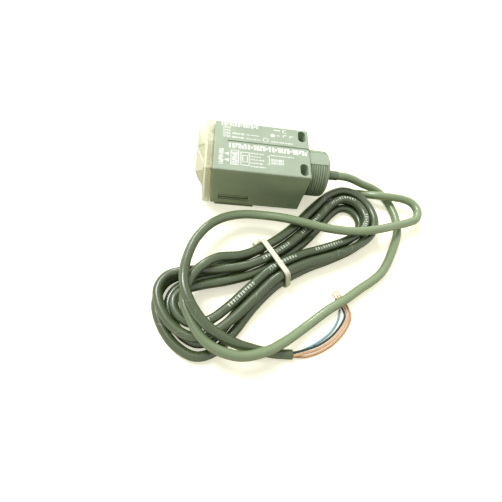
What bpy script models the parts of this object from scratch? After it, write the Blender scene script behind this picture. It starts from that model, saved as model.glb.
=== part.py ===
# Photoelectric sensor: moulded housing with a threaded hub, clear lens cap, inner optics and tied cable.
# It stands on z = 0 with its lenses towards -X and its hub towards +X. Sizes are in millimetres.
import math

import bmesh
import bpy
from mathutils import Matrix, Vector

metre = 0.001
gap = 0.3

# Housing block
body_front, body_rear = -32.5, 27.5
body_half = 19.5
body_floor, body_top = 2.0, 36.0
body_edge = 0.8
wall = 2.5
cavity_rear = 16.0
rebate_depth, rebate_width = 1.5, 1.2
slot_x, slot_y = 23.0, 13.5
slot_width, slot_length = 5.0, 9.0
groove_x, groove_y = -24.2, 3.2
groove_width, groove_depth = 1.5, 0.5
window_x = (-27.4, -8.0)
window_z = (6.6, 12.0)
hatch_x, hatch_half = (-27.6, -7.2), 16.9

# Hub moulded on the rear wall, for a 30 mm thread on its two sides, with smooth lands above and below
hub_z = 18.1
hub_radius, hub_end = 15.0, 42.5
hub_flat, hub_nose = 14.3, 2.8
hub_bore = 4.3
hub_recess, hub_recess_depth = 6.0, 3.0
thread_root, thread_x = 14.1, (28.0, 40.2)
thread_land = 17.5

# Clear cap with two wedge-shaped lens bulges
cap_front, cap_wall = -38.1, 1.8
bulge_root = cap_front + 0.5
bulge_profile = [
    (bulge_root, 31.5), (cap_front, 31.5), (-42.5, 29.0), (-40.8, 22.5), (-39.4, 19.2), (cap_front, 15.8),
    (bulge_root, 15.8),
]
near_bulge, far_bulge = (-17.4, 1.4), (3.4, 17.4)
cap_panel_x, cap_panel_depth = (-37.3, -33.6), 0.5
cap_panels = {"near_panel": (-18.4, 1.5), "far_panel": (3.3, 18.4)}

# Optics behind the cap
holder_x, holder_z, holder_half = (-31.0, -20.0), (14.0, 33.2), 16.4
tongue_front, tongue_y = -36.0, (1.3, 3.5)
optic_z = 24.0
receiver_y, receiver_radius = -8.0, 7.2
emitter_y, emitter_radius = 10.2, 5.4
lens_seat, lens_rim, lens_crown = 2.0, 1.7, 2.6
diode_radius = 2.5
pipe_y, pipe_z, pipe_radius = 14.8, 31.2, 1.5
board = 1.6
optics_board_x = -19.2

# Main board and what stands on it
main_x, main_half, main_z = (-17.2, 11.0), 15.5, 17.2
rail_depth, rail_height = 2.1, 1.2

# Panel under the front half, with its two controls
panel_x, panel_half, panel_thick = (-29.4, -3.3), 19.2, 1.3
snap_x, snap_leg, snap_reach = (-26.8, -8.6), (15.1, 16.6), 19.3
snap_z = (7.2, 11.4)
control_x, control_y = -12.5, 7.0
control_hole = 3.3
trimmer_size, trimmer_height = 9.0, 7.0

# Cable and its way through the hub
cable = 5.2
relief_end, relief_bore_end = 52.5, 42.0
seal_x = (26.0, 38.0)
inner_start = 12.0
lead_start = relief_end + gap

# Hank: loops laid out along an axis turned on the floor, drawn in at the waist, in two layers
hank_x, hank_y, hank_turn = 9.4, -64.4, math.radians(34.0)
hank_first, hank_middle, hank_last = 0.22, 2.2, 4.345
points_per_loop = 24
waist, waist_step = 14.8, 6.3
left_reach, right_reach, reach_step = 77.0, 86.0, 6.1
left_lobe, left_lobe_step = 46.0, 6.6
right_lobe, right_lobe_step = 36.0, 6.1
bow, bow_from, bow_span = 6.0, 30.0, 72.0
low_layer, layer_step = 2.8, 5.8
climb_span = 0.3
entry_swing, entry_span = 0.9, 0.12
waist_lift, waist_lift_span = 1.9, 22.0
top_draw, top_draw_span = 1.8, 30.0
top_swing, low_swing = 6.5, -1.0
swing_turn, swing_span, swing_from = 2.03, 0.2, 0.2

# Strap round the waist, in the hank's own directions
tie_width, tie_thick = 3.2, 1.2
tie_corner = 2.6
tie_corners = [(-11.4, 4.1), (14.6, 4.1), (12.6, 11.1), (-8.8, 11.1)]
tie_head_y, tie_head_z, tie_head_half = (17.0, 20.6), (1.0, 5.8), 2.7

# Route of the cable from the strain relief to the hank
lead_route = [
    (58.0, 0.0, 18.0), (64.0, 0.4, 16.0), (74.2, 1.8, 10.2), (83.5, 2.1, 6.4),
    (90.8, 0.0, 3.7), (95.1, -4.7, 2.8), (97.7, -11.4, 2.8), (99.3, -20.6, 2.8), (98.1, -32.2, 2.8),
    (91.6, -46.8, 2.8), (80.6, -63.6, 2.8), (62.0, -77.2, 3.2), (52.9, -83.7, 4.4), (41.4, -90.8, 4.2),
    (26.0, -102.1, 4.0), (13.0, -111.3, 7.5), (2.1, -117.3, 11.0), (-11.4, -120.5, 13.5),
    (-22.8, -118.2, 14.4), (-31.2, -112.8, 14.6), (-38.6, -102.2, 14.6), (-42.6, -92.6, 14.6),
    (-41.8, -83.4, 14.6), (-39.0, -77.0, 14.6), (-33.9, -71.0, 14.2), (-25.6, -64.6, 12.0),
]

# Route of the cable from the hank to its cut end
tail_route = [
    (46.4, -9.4, 2.8), (52.5, -4.9, 2.8), (60.0, -2.2, 2.8), (69.0, -1.6, 3.4), (78.0, -3.5, 5.6),
    (86.6, -6.2, 9.0), (96.0, -6.9, 9.6),
    (104.5, -7.3, 9.0), (111.0, -10.0, 8.7), (113.7, -16.5, 8.6), (111.0, -23.0, 8.6), (104.5, -26.6, 9.0),
    (92.7, -31.4, 10.8), (77.3, -37.9, 14.8), (65.7, -40.3, 14.6), (54.1, -41.0, 14.6), (40.9, -40.0, 14.6),
    (26.6, -37.7, 15.2), (14.6, -35.5, 14.8), (0.8, -33.3, 12.5), (-11.3, -33.5, 12.0),
    (-22.5, -37.1, 12.5), (-31.4, -43.7, 13.6), (-38.5, -54.0, 15.0), (-42.2, -65.3, 17.4),
    (-43.7, -76.2, 19.6), (-43.1, -85.2, 20.4), (-40.4, -92.8, 20.4), (-35.7, -100.3, 19.4),
    (-29.7, -106.4, 17.6), (-21.6, -111.1, 14.7), (-13.9, -113.8, 11.5), (-5.8, -115.0, 7.2),
    (2.5, -116.0, 3.8), (10.5, -116.7, 2.8), (18.4, -116.9, 2.8),
]

# Routes of the four wires from the cut end, under the lead and out on its far side
wire = 1.3
wire_start = 18.4 + gap
wire_routes = {
    "brown": [
        (wire_start, -117.7, 2.0), (26.6, -117.6, 1.0), (36.2, -114.4, 0.8), (45.6, -108.4, 0.8),
        (53.8, -99.3, 0.8), (56.7, -92.3, 0.8), (54.8, -85.4, 0.8), (52.0, -80.2, 0.8),
    ],
    "orange": [
        (wire_start, -117.7, 3.6), (26.2, -115.8, 1.5), (35.4, -112.7, 0.8), (44.4, -107.0, 0.8),
        (52.1, -98.5, 0.8), (55.0, -92.3, 0.8), (53.1, -86.0, 0.8), (50.3, -81.0, 0.8),
    ],
    "blue": [
        (wire_start, -116.1, 2.0), (25.6, -113.9, 0.8), (33.6, -109.8, 0.8), (40.8, -105.0, 0.8),
        (46.2, -99.4, 0.8), (49.4, -93.2, 0.8), (50.4, -88.9, 0.8),
    ],
    "black": [
        (wire_start, -116.1, 3.6), (25.8, -114.2, 2.5), (34.4, -111.1, 1.9), (43.2, -105.5, 1.4),
        (50.6, -97.5, 1.0), (53.2, -92.2, 0.8), (51.4, -86.7, 0.8), (48.6, -82.0, 0.8),
    ],
}
wire_colours = {
    "brown": (0.42, 0.17, 0.07),
    "orange": (0.85, 0.38, 0.14),
    "blue": (0.18, 0.42, 0.62),
    "black": (0.05, 0.06, 0.05),
}

# Colours of the mouldings and fittings
grey_green = (0.46, 0.54, 0.39)
panel_green = (0.33, 0.38, 0.26)
clear_yellow = (0.90, 0.92, 0.72)
clear_glass = (0.92, 0.95, 0.92)
black_plastic = (0.03, 0.03, 0.03)
seal_rubber = (0.06, 0.06, 0.05)
pale_silicone = (0.66, 0.66, 0.52)
ivory = (0.76, 0.75, 0.60)
board_green = (0.05, 0.20, 0.09)
cable_grey = (0.12, 0.155, 0.095)
strap_white = (0.90, 0.91, 0.84)
control_cream = (0.75, 0.73, 0.62)
red_light = (0.75, 0.08, 0.05)
green_light = (0.10, 0.55, 0.12)
can_blue = (0.05, 0.08, 0.20)


def runs_along(edge, names):
    # True where the edge's main direction is one of the named axes
    reach = [abs(part) for part in edge.verts[1].co - edge.verts[0].co]
    return "xyz"[reach.index(max(reach))] in names


def box(x, y, z, radius=0.0, along="xyz", steps=2):
    # Block between three pairs of limits, with the edges along the named axes rounded
    shape = bmesh.new()
    spans = (x, y, z)
    centre = Vector([(low + high) / 2 for low, high in spans])
    size = [high - low for low, high in spans]
    bmesh.ops.create_cube(shape, size=1.0, matrix=Matrix.Translation(centre) @ Matrix.Diagonal((*size, 1.0)))
    if radius:
        edges = [edge for edge in shape.edges if runs_along(edge, along)]
        bmesh.ops.bevel(shape, geom=edges, offset=radius, segments=steps, profile=0.5, affect="EDGES")
    return shape


def turned(profile, sides, axis="x", centre=(0.0, hub_z), ring=False):
    # Profile of (distance along the axis, radius) points spun about an axis along X or Z
    shape = bmesh.new()
    if axis == "x":
        spots = [(along, centre[0], centre[1] + radius) for along, radius in profile]
        pivot, direction = (0.0, centre[0], centre[1]), (1.0, 0.0, 0.0)
    else:
        spots = [(centre[0] + radius, centre[1], along) for along, radius in profile]
        pivot, direction = (centre[0], centre[1], 0.0), (0.0, 0.0, 1.0)
    corners = [shape.verts.new(spot) for spot in spots]
    ends = corners[1:] + corners[:1] if ring else corners[1:]
    for start, end in zip(corners, ends):
        shape.edges.new((start, end))
    outline = shape.verts[:] + shape.edges[:]
    bmesh.ops.spin(
        shape, geom=outline, cent=pivot, axis=direction, angle=2 * math.pi, steps=sides, use_merge=True)
    bmesh.ops.remove_doubles(shape, verts=shape.verts, dist=0.0005)
    return shape


def extruded(outline, y):
    # Outline in X and Z drawn out between two Y limits
    shape = bmesh.new()
    face = shape.faces.new([shape.verts.new((across, y[0], up)) for across, up in outline])
    drawn = bmesh.ops.extrude_face_region(shape, geom=[face])["geom"]
    moved = [item for item in drawn if isinstance(item, bmesh.types.BMVert)]
    bmesh.ops.translate(shape, verts=moved, vec=(0.0, y[1] - y[0], 0.0))
    return shape


def arc(centre, radius, start, end, steps):
    # Points of a circular arc, angles in degrees
    angles = [math.radians(start + (end - start) * step / steps) for step in range(steps + 1)]
    return [(centre[0] + radius * math.cos(angle), centre[1] + radius * math.sin(angle)) for angle in angles]


def material(name, colour, roughness):
    surface = bpy.data.materials.new(name)
    surface.use_nodes = True
    shader = surface.node_tree.nodes["Principled BSDF"]
    shader.inputs["Base Color"].default_value = (*colour, 1.0)
    shader.inputs["Roughness"].default_value = roughness
    shader.inputs["Metallic"].default_value = 0.0
    return surface


def place(name, data, parent, origin=(0.0, 0.0, 0.0), turn=0.0):
    thing = bpy.data.objects.new(name, data)
    bpy.context.scene.collection.objects.link(thing)
    thing.parent = parent
    thing.location = Vector(origin) * metre
    thing.rotation_euler = (0.0, 0.0, turn)
    return thing


def mesh_of(name, shape):
    bmesh.ops.recalc_face_normals(shape, faces=shape.faces)
    bmesh.ops.scale(shape, verts=shape.verts, vec=(metre, metre, metre))
    mesh = bpy.data.meshes.new(name)
    shape.to_mesh(mesh)
    shape.free()
    return mesh


def piece(name, shape, colour, roughness, parent, origin=(0.0, 0.0, 0.0), turn=0.0):
    # Named piece of the assembly, drawn about its own origin
    mesh = mesh_of(name, shape)
    mesh.materials.append(material(name, colour, roughness))
    mesh.shade_smooth()
    mesh.set_sharp_from_angle(angle=math.radians(32.0))
    return place(name, mesh, parent, origin, turn)


def combine(target, shape, operation, label):
    # Joins a shape to a piece or cuts it out; the shape is in the piece's own frame
    tool = place(f"{target.name}_{label}", mesh_of(label, shape), target.parent)
    tool.location = target.location
    tool.rotation_euler = target.rotation_euler
    tool.hide_render = True
    tool.display_type = "WIRE"
    change = target.modifiers.new(label, "BOOLEAN")
    change.operation = operation
    change.solver = "EXACT"
    change.object = tool


def cut(target, shape, label):
    combine(target, shape, "DIFFERENCE", label)


def join(target, shape, label):
    combine(target, shape, "UNION", label)


def mirrored(span):
    return (-span[1], -span[0])


def both_sides(span):
    # The span itself and its mirror image in Y, each with a side's name
    return (("far", span), ("near", mirrored(span)))


def hub_solid():
    # Round hub with a rounded nose, flattened above and below
    nose = arc((hub_end - hub_nose, hub_radius - hub_nose), hub_nose, 90.0, 0.0, 4)
    shape = turned([(body_rear - wall, 0.0), (body_rear - wall, hub_radius), *nose, (hub_end, 0.0)], 48)
    for way in (1.0, -1.0):
        everything = shape.verts[:] + shape.edges[:] + shape.faces[:]
        sliced = bmesh.ops.bisect_plane(
            shape, geom=everything, plane_co=(0.0, 0.0, hub_z + way * hub_flat), plane_no=(0.0, 0.0, way),
            clear_outer=True)
        rim = [item for item in sliced["geom_cut"] if isinstance(item, bmesh.types.BMEdge)]
        bmesh.ops.edgeloop_fill(shape, edges=rim)
    return shape


def thread_side(middle):
    # Stretch of a ring about the hub down to the thread's root, between the smooth lands
    shape = bmesh.new()
    half = 90.0 - thread_land
    start = math.radians(middle - half)
    rear, end = thread_x
    crest = hub_radius + 1
    for along, radius in ((rear, thread_root), (end, thread_root), (end, crest), (rear, crest)):
        shape.verts.new((along, radius * math.cos(start), hub_z + radius * math.sin(start)))
    shape.faces.new(shape.verts)
    section = shape.verts[:] + shape.edges[:] + shape.faces[:]
    sweep = math.radians(2 * half)
    bmesh.ops.spin(
        shape, geom=section, cent=(0.0, 0.0, hub_z), axis=(1.0, 0.0, 0.0), angle=sweep, steps=24)
    return shape


def build_housing(root):
    outer = ((body_front, body_rear), (-body_half, body_half), (body_floor, body_top))
    housing = piece("housing", box(*outer, body_edge), grey_green, 0.5, root)
    join(housing, hub_solid(), "hub")
    for side, middle in (("far", 0.0), ("near", 180.0)):
        cut(housing, thread_side(middle), f"{side}_thread_root")
    inside = body_half - wall
    cavity_z = (body_floor + wall, body_top - wall)
    cut(housing, box((body_front - 1, cavity_rear), (-inside, inside), cavity_z, 1.5, "x"), "cavity")
    rebate = inside + rebate_width
    rebate_z = (cavity_z[0] - rebate_width, cavity_z[1] + rebate_width)
    rebate_x = (body_front - 1, body_front + rebate_depth)
    cut(housing, box(rebate_x, (-rebate, rebate), rebate_z, 1.5, "x"), "rebate")
    bore = [
        (cavity_rear - 1, 0.0), (cavity_rear - 1, hub_bore), (hub_end - hub_recess_depth, hub_bore),
        (hub_end - hub_recess_depth, hub_recess), (hub_end + 1, hub_recess), (hub_end + 1, 0.0)]
    cut(housing, turned(bore, 32), "bore")
    hatch_z = (body_floor - 1, cavity_z[0] + 0.5)
    cut(housing, box(hatch_x, (-hatch_half, hatch_half), hatch_z, 1.0, "z"), "hatch")
    cut(housing, box(window_x, (-body_half - 1, body_half + 1), window_z, 0.4, "y"), "windows")
    groove = ((groove_x, body_rear + 1), (groove_y - groove_width / 2, groove_y + groove_width / 2))
    cut(housing, box(*groove, (body_top - groove_depth, body_top + 1)), "groove")
    slot_span = (slot_y - slot_length / 2, slot_y + slot_length / 2)
    slot_reach = (slot_x - slot_width / 2, slot_x + slot_width / 2)
    for side, span in both_sides(slot_span):
        through = (body_floor - 1, body_top + 1)
        slot = box(slot_reach, span, through, slot_width / 2 - 0.01, "z", 6)
        cut(housing, slot, f"{side}_slot")
    rail_x = (optics_board_x + board + gap, main_x[1] - 1)
    for side, span in both_sides((inside - rail_depth, inside + gap)):
        lower = (main_z - gap - rail_height, main_z - gap)
        upper = (main_z + board + gap, main_z + board + gap + rail_height)
        join(housing, box(rail_x, span, lower), f"{side}_lower_rail")
        join(housing, box(rail_x, span, upper), f"{side}_upper_rail")


def build_cap(root):
    rear = body_front - gap
    outer = ((cap_front, rear), (-body_half, body_half), (body_floor, body_top))
    cap = piece("lens_cap", box(*outer, body_edge), clear_yellow, 0.1, root)
    for label, span in (("near_bulge", near_bulge), ("far_bulge", far_bulge)):
        join(cap, extruded(bulge_profile, span), label)
    inside = body_half - cap_wall
    hollow_z = (body_floor + cap_wall, body_top - cap_wall)
    cut(cap, box((cap_front + cap_wall, rear + 1), (-inside, inside), hollow_z, 1.0, "x"), "hollow")
    for label, span in cap_panels.items():
        cut(cap, box(cap_panel_x, span, (body_top - cap_panel_depth, body_top + 1)), label)
    outer_half = body_half - wall + rebate_width - gap
    outer_z = (body_floor + wall - rebate_width + gap, body_top - wall + rebate_width - gap)
    thick = (body_front - gap / 2, body_front + rebate_depth - gap)
    frame = box(thick, (-outer_half, outer_half), outer_z, 1.2, "x")
    gasket = piece("lens_gasket", frame, pale_silicone, 0.6, root)
    inner_half = holder_half + gap
    inner_z = (body_floor + wall + 0.2, holder_z[1] + gap)
    cut(gasket, box((body_front - 1, body_front + 3), (-inner_half, inner_half), inner_z, 1.0, "x"), "frame")


def tunnel(y, radius):
    # Light tunnel: lens seat, cone down to the diode, and the diode's own hole
    seat = radius + gap
    mouth = holder_x[0] + lens_seat
    throat = holder_x[1] - lens_seat
    hole = diode_radius + gap + 0.1
    profile = [
        (holder_x[0] - 1, 0.0), (holder_x[0] - 1, seat), (mouth, seat), (mouth, seat - 0.9), (throat, hole),
        (holder_x[1] + 1, hole), (holder_x[1] + 1, 0.0)]
    return turned(profile, 32, centre=(y, optic_z))


def build_optics(root):
    block = box(holder_x, (-holder_half, holder_half), holder_z, 0.8, "x")
    holder = piece("optics_holder", block, ivory, 0.5, root)
    join(holder, box((tongue_front, holder_x[0] + 1), tongue_y, holder_z), "partition")
    rim = holder_x[0] + lens_seat - gap
    lenses = (("receiver", receiver_y, receiver_radius), ("emitter", emitter_y, emitter_radius))
    for name, y, radius in lenses:
        cut(holder, tunnel(y, radius), f"{name}_tunnel")
        bend = (radius ** 2 + lens_crown ** 2) / (2 * lens_crown)
        sweep = math.degrees(math.asin(radius / bend))
        crown = arc((rim - lens_rim - lens_crown + bend, 0.0), bend, 180.0, 180.0 - sweep, 5)
        lens = turned([*crown, (rim, radius), (rim, 0.0)], 32, centre=(y, optic_z))
        piece(f"{name}_lens", lens, clear_glass, 0.05, root)
    foot = optics_board_x - gap
    flange = diode_radius + 0.25
    base = [(foot - 0.8, diode_radius), (foot - 0.8, flange), (foot, flange), (foot, 0.0)]
    dome = arc((foot - 3.6, 0.0), diode_radius, 180.0, 90.0, 5)
    led = turned([*dome, *base], 20, centre=(emitter_y, optic_z))
    piece("emitter_led", led, red_light, 0.1, root)
    flat = [(foot - 2.6, 0.0), (foot - 2.6, diode_radius - 0.4), (foot - 2.2, diode_radius)]
    diode = turned([*flat, *base], 20, centre=(receiver_y, optic_z))
    piece("receiver_diode", diode, black_plastic, 0.15, root)
    hole = pipe_radius + gap
    pipes = (("power_indicator", -pipe_y, red_light), ("output_indicator", pipe_y, green_light))
    for name, y, colour in pipes:
        passage = [(tongue_front, 0.0), (tongue_front, hole), (0.0, hole), (0.0, 0.0)]
        cut(holder, turned(passage, 16, centre=(y, pipe_z)), name)
        tip = arc((tongue_front + 3.0, 0.0), pipe_radius, 180.0, 90.0, 4)
        pipe = turned([*tip, (foot, pipe_radius), (foot, 0.0)], 16, centre=(y, pipe_z))
        piece(name, pipe, colour, 0.1, root)


def build_boards(root):
    optics = ((optics_board_x, optics_board_x + board), (-holder_half, holder_half), holder_z)
    piece("optics_board", box(*optics, 0.8, "x"), board_green, 0.4, root)
    main = (main_x, (-main_half, main_half), (main_z, main_z + board))
    piece("main_board", box(*main, 0.8, "z"), board_green, 0.4, root)
    top = main_z + board + gap
    piece("amplifier_chip", box((-11.0, -1.0), (1.0, 7.2), (top, top + 2.0), 0.3), black_plastic, 0.5, root)
    piece("output_transistor", box((1.5, 8.0), (4.5, 10.6), (top, top + 2.3), 0.3), black_plastic, 0.5, root)
    can = [(top, 0.0), (top, 3.6), (top + 0.6, 4.0), (top + 9.6, 4.0), (top + 10.2, 3.5), (top + 10.2, 0.0)]
    piece("filter_capacitor", turned(can, 24, "z", (3.0, -7.0)), can_blue, 0.3, root)


def build_controls(root):
    plate = box(panel_x, (-panel_half, panel_half), (0.0, panel_thick), 0.4)
    panel = piece("control_panel", plate, panel_green, 0.5, root)
    for side, leg in both_sides(snap_leg):
        join(panel, box(snap_x, leg, (panel_thick - 0.5, snap_z[1])), f"{side}_leg")
    for side, bar in both_sides((snap_leg[0], snap_reach)):
        join(panel, box(snap_x, bar, snap_z, 0.3, "x"), f"{side}_bar")
    frame_z = (panel_thick + gap / 2, body_floor - gap / 2)
    outer = ((panel_x[0] + gap, panel_x[1] - gap), (-panel_half + gap, panel_half - gap))
    gasket = piece("panel_gasket", box(*outer, frame_z, 0.8, "z"), seal_rubber, 0.8, root)
    clear_half = hatch_half + 0.4
    clear_x = (hatch_x[0] + 0.2, panel_x[1] - 2.2)
    cut(gasket, box(clear_x, (-clear_half, clear_half), (0.0, 3.0), 0.8, "z"), "frame")
    body_z = (main_z - gap - trimmer_height, main_z - gap)
    half = trimmer_size / 2
    shaft, shaft_top = 1.5, body_z[0] + 3.0
    pairs = (("sensitivity_knob", "sensitivity_trimmer", -1.0), ("mode_knob", "mode_switch", 1.0))
    for control, holder, way in pairs:
        y = way * control_y
        hole = [(-1.0, 0.0), (-1.0, control_hole), (panel_thick + 1, control_hole), (panel_thick + 1, 0.0)]
        cut(panel, turned(hole, 28, "z", (control_x, y)), f"{control}_hole")
        case = box((control_x - half, control_x + half), (y - half, y + half), body_z, 0.5, "z")
        trimmer = piece(holder, case, black_plastic, 0.5, root)
        seat = [(0.0, 0.0), (0.0, shaft + gap), (shaft_top + gap, shaft + gap), (shaft_top + gap, 0.0)]
        cut(trimmer, turned(seat, 20, "z", (control_x, y)), "seat")
        axis = place(f"{control}_axis", None, root, (control_x, y, 0.0))
        knob_profile = [
            (0.4, 0.0), (0.4, 2.7), (0.7, 3.0), (1.7, 3.0), (1.7, 4.2), (2.6, 4.2), (2.6, shaft),
            (shaft_top, shaft), (shaft_top, 0.0)]
        knob = piece(control, turned(knob_profile, 28, "z", (0.0, 0.0)), control_cream, 0.5, axis)
        cut(knob, box((-2.2, 2.2), (-0.4, 0.4), (-0.5, 1.1)), "blade_slot")


def build_cable_entry(root):
    bore = cable / 2 + gap
    sleeve = [
        (relief_bore_end, 0.0), (relief_bore_end, bore), (hub_end - hub_recess_depth + gap, bore),
        (hub_end - hub_recess_depth + gap, hub_recess - gap), (hub_end - 0.7, hub_recess - gap),
        (hub_end - gap, hub_recess - 0.7), (hub_end - gap, 4.2), (hub_end + 0.6, 3.5), (hub_end + 2.0, 3.3),
        (relief_end - 0.4, 3.15), (relief_end, 2.8), (relief_end, 0.0)]
    piece("strain_relief", turned(sleeve, 28), cable_grey, 0.55, root)
    seal = [(seal_x[0], bore), (seal_x[0], hub_bore - gap), (seal_x[1], hub_bore - gap), (seal_x[1], bore)]
    piece("cable_seal", turned(seal, 28, ring=True), seal_rubber, 0.8, root)
    end = relief_bore_end - gap
    core = [(inner_start, 0.0), (inner_start, cable / 2), (end, cable / 2), (end, 0.0)]
    piece("inner_cable", turned(core, 20), cable_grey, 0.55, root)


def ease(share):
    share = min(max(share, 0.0), 1.0)
    return share * share * (3.0 - 2.0 * share)


def hank_point(turn):
    # A turn runs once round the loop. Depth counts the steps in from the outermost loop: the spiral goes in
    # until the middle turn, drops a layer there, and comes out again. Side is -1 at the left end and 1 at
    # the right. At the waist the top layer is drawn in a little further than the low one, and at the left end
    # the two layers swing apart.
    depth = hank_middle - abs(turn - hank_middle)
    side = -math.cos(2 * math.pi * turn)
    reach = (right_reach if side > 0 else left_reach) - reach_step * depth * abs(side)
    lobe = right_lobe - right_lobe_step * depth if side > 0 else left_lobe - left_lobe_step * depth
    along = reach * side
    dropped = ease((turn - hank_middle) / climb_span + 0.5)
    drawn = top_draw * (1.0 - dropped) * math.exp(-(along / top_draw_span) ** 2)
    across = math.sin(2 * math.pi * turn) * (waist - waist_step * depth - drawn + lobe * side * side)
    across += bow * ease((along - bow_from) / bow_span)
    across += entry_swing * (1.0 - ease((turn - hank_first) / entry_span))
    swung = ease((turn - swing_turn) / swing_span + 0.5)
    across += (top_swing + (low_swing - top_swing) * swung) * ease((-side - swing_from) / (1.0 - swing_from))
    lift = waist_lift * math.exp(-(along / waist_lift_span) ** 2)
    height = low_layer + layer_step * (1.0 - dropped) + lift
    x = hank_x + along * math.cos(hank_turn) - across * math.sin(hank_turn)
    y = hank_y + along * math.sin(hank_turn) + across * math.cos(hank_turn)
    return Vector((x, y, height))


def hank_points():
    count = round((hank_last - hank_first) * points_per_loop)
    return [hank_point(hank_first + (hank_last - hank_first) * step / count) for step in range(count + 1)]


def least_gap(points, diameter, parts=6):
    # Smallest free distance between stretches of the tube that are more than four diameters apart along it
    fine = [start.lerp(end, part / parts) for start, end in zip(points, points[1:]) for part in range(parts)]
    travelled = [0.0]
    for start, end in zip(fine, fine[1:]):
        travelled.append(travelled[-1] + (end - start).length)
    closest = math.inf
    for index, spot in enumerate(fine):
        for other in range(index):
            if travelled[index] - travelled[other] > 4 * diameter:
                closest = min(closest, (spot - fine[other]).length)
    return closest - diameter


def between(before, start, end, after, share):
    # Point on the centripetal Catmull-Rom curve from start to end
    first = math.sqrt((start - before).length)
    second = first + math.sqrt((end - start).length)
    third = second + math.sqrt((after - end).length)
    at = first + (second - first) * share
    near = before.lerp(start, at / first)
    middle = start.lerp(end, (at - first) / (second - first))
    far = end.lerp(after, (at - second) / (third - second))
    left = near.lerp(middle, at / second)
    right = middle.lerp(far, (at - first) / (third - first))
    return left.lerp(right, (at - first) / (second - first))


def along_curve(route, spacing, fine=20):
    # Smooth curve through the route's points, read at even steps of about the spacing
    route = [Vector(spot) for spot in route]
    padded = [route[0] * 2 - route[1], *route, route[-1] * 2 - route[-2]]
    dense = []
    for corner in zip(padded, padded[1:], padded[2:], padded[3:]):
        dense.extend(between(*corner, step / fine) for step in range(fine))
    dense.append(route[-1])
    lengths = [(end - start).length for start, end in zip(dense, dense[1:])]
    count = round(sum(lengths) / spacing)
    step = sum(lengths) / count
    spots = [dense[0]]
    travelled = 0.0
    for start, end, length in zip(dense, dense[1:], lengths):
        while travelled + length >= step * len(spots) and len(spots) < count:
            spots.append(start.lerp(end, (step * len(spots) - travelled) / length))
        travelled += length
    spots.append(dense[-1])
    return spots


def tube(name, spots, diameter, resolution, colour, parent):
    curve = bpy.data.curves.new(name, "CURVE")
    curve.dimensions = "3D"
    curve.bevel_depth = diameter / 2 * metre
    curve.bevel_resolution = resolution
    curve.use_fill_caps = True
    spline = curve.splines.new("POLY")
    spline.points.add(len(spots) - 1)
    for knot, spot in zip(spline.points, spots):
        knot.co = (*(spot * metre), 1.0)
    curve.materials.append(material(name, colour, 0.5))
    place(name, curve, parent)


def build_cord(root):
    hank = hank_points()
    print(f"least gap of the hank to itself: {least_gap(hank, cable):.2f} mm")
    tube("cord_hank", hank, cable, 1, cable_grey, root)
    entry = (hank[1] - hank[0]).normalized()
    leave = (hank[-1] - hank[-2]).normalized()
    lead = along_curve([*lead_route, hank[0] - entry * cable], 2.4 * cable)
    start = Vector((lead_start, 0.0, hub_z))
    tube("cord_lead", [start, *lead, hank[0] - entry * gap], cable, 3, cable_grey, root)
    tail = along_curve([hank[-1] + leave * cable, *tail_route], 2.0 * cable)
    tube("cord_tail", [hank[-1] + leave * gap, *tail], cable, 3, cable_grey, root)
    for colour, route in wire_routes.items():
        tube(f"conductor_{colour}", along_curve(route, 7.0 * wire), wire, 2, wire_colours[colour], root)


def rounded_band(grow, x):
    # Solid between two X limits, whose outline keeps one distance from the strap's corner centres
    outline = []
    neighbours = zip(tie_corners[-1:] + tie_corners[:-1], tie_corners, tie_corners[1:] + tie_corners[:1])
    for before, corner, after in neighbours:
        arrive = math.degrees(math.atan2(corner[1] - before[1], corner[0] - before[0])) - 90.0
        leave = math.degrees(math.atan2(after[1] - corner[1], after[0] - corner[0])) - 90.0
        outline += arc(corner, tie_corner + grow, arrive, arrive + (leave - arrive) % 360.0, 4)
    shape = bmesh.new()
    face = shape.faces.new([shape.verts.new((x[0], across, up)) for across, up in outline])
    drawn = bmesh.ops.extrude_face_region(shape, geom=[face])["geom"]
    moved = [item for item in drawn if isinstance(item, bmesh.types.BMVert)]
    bmesh.ops.translate(shape, verts=moved, vec=(x[1] - x[0], 0.0, 0.0))
    return shape


def build_tie(root):
    # Strap with its head, drawn in the hank's own directions and turned with it
    strap = rounded_band(tie_thick, (-tie_width / 2, tie_width / 2))
    tie = piece("cable_tie", strap, strap_white, 0.35, root, (hank_x, hank_y, 0.0), hank_turn)
    head = box((-tie_head_half, tie_head_half), tie_head_y, tie_head_z, 0.5)
    join(tie, head, "head")
    cut(tie, rounded_band(0.0, (-2 * tie_head_half, 2 * tie_head_half)), "opening")


for leftover in list(bpy.data.objects):
    bpy.data.objects.remove(leftover, do_unlink=True)
sensor = place("sensor", None, None)
build_housing(sensor)
build_cap(sensor)
build_optics(sensor)
build_boards(sensor)
build_controls(sensor)
build_cable_entry(sensor)
build_cord(sensor)
build_tie(sensor)
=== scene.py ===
import math

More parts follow.
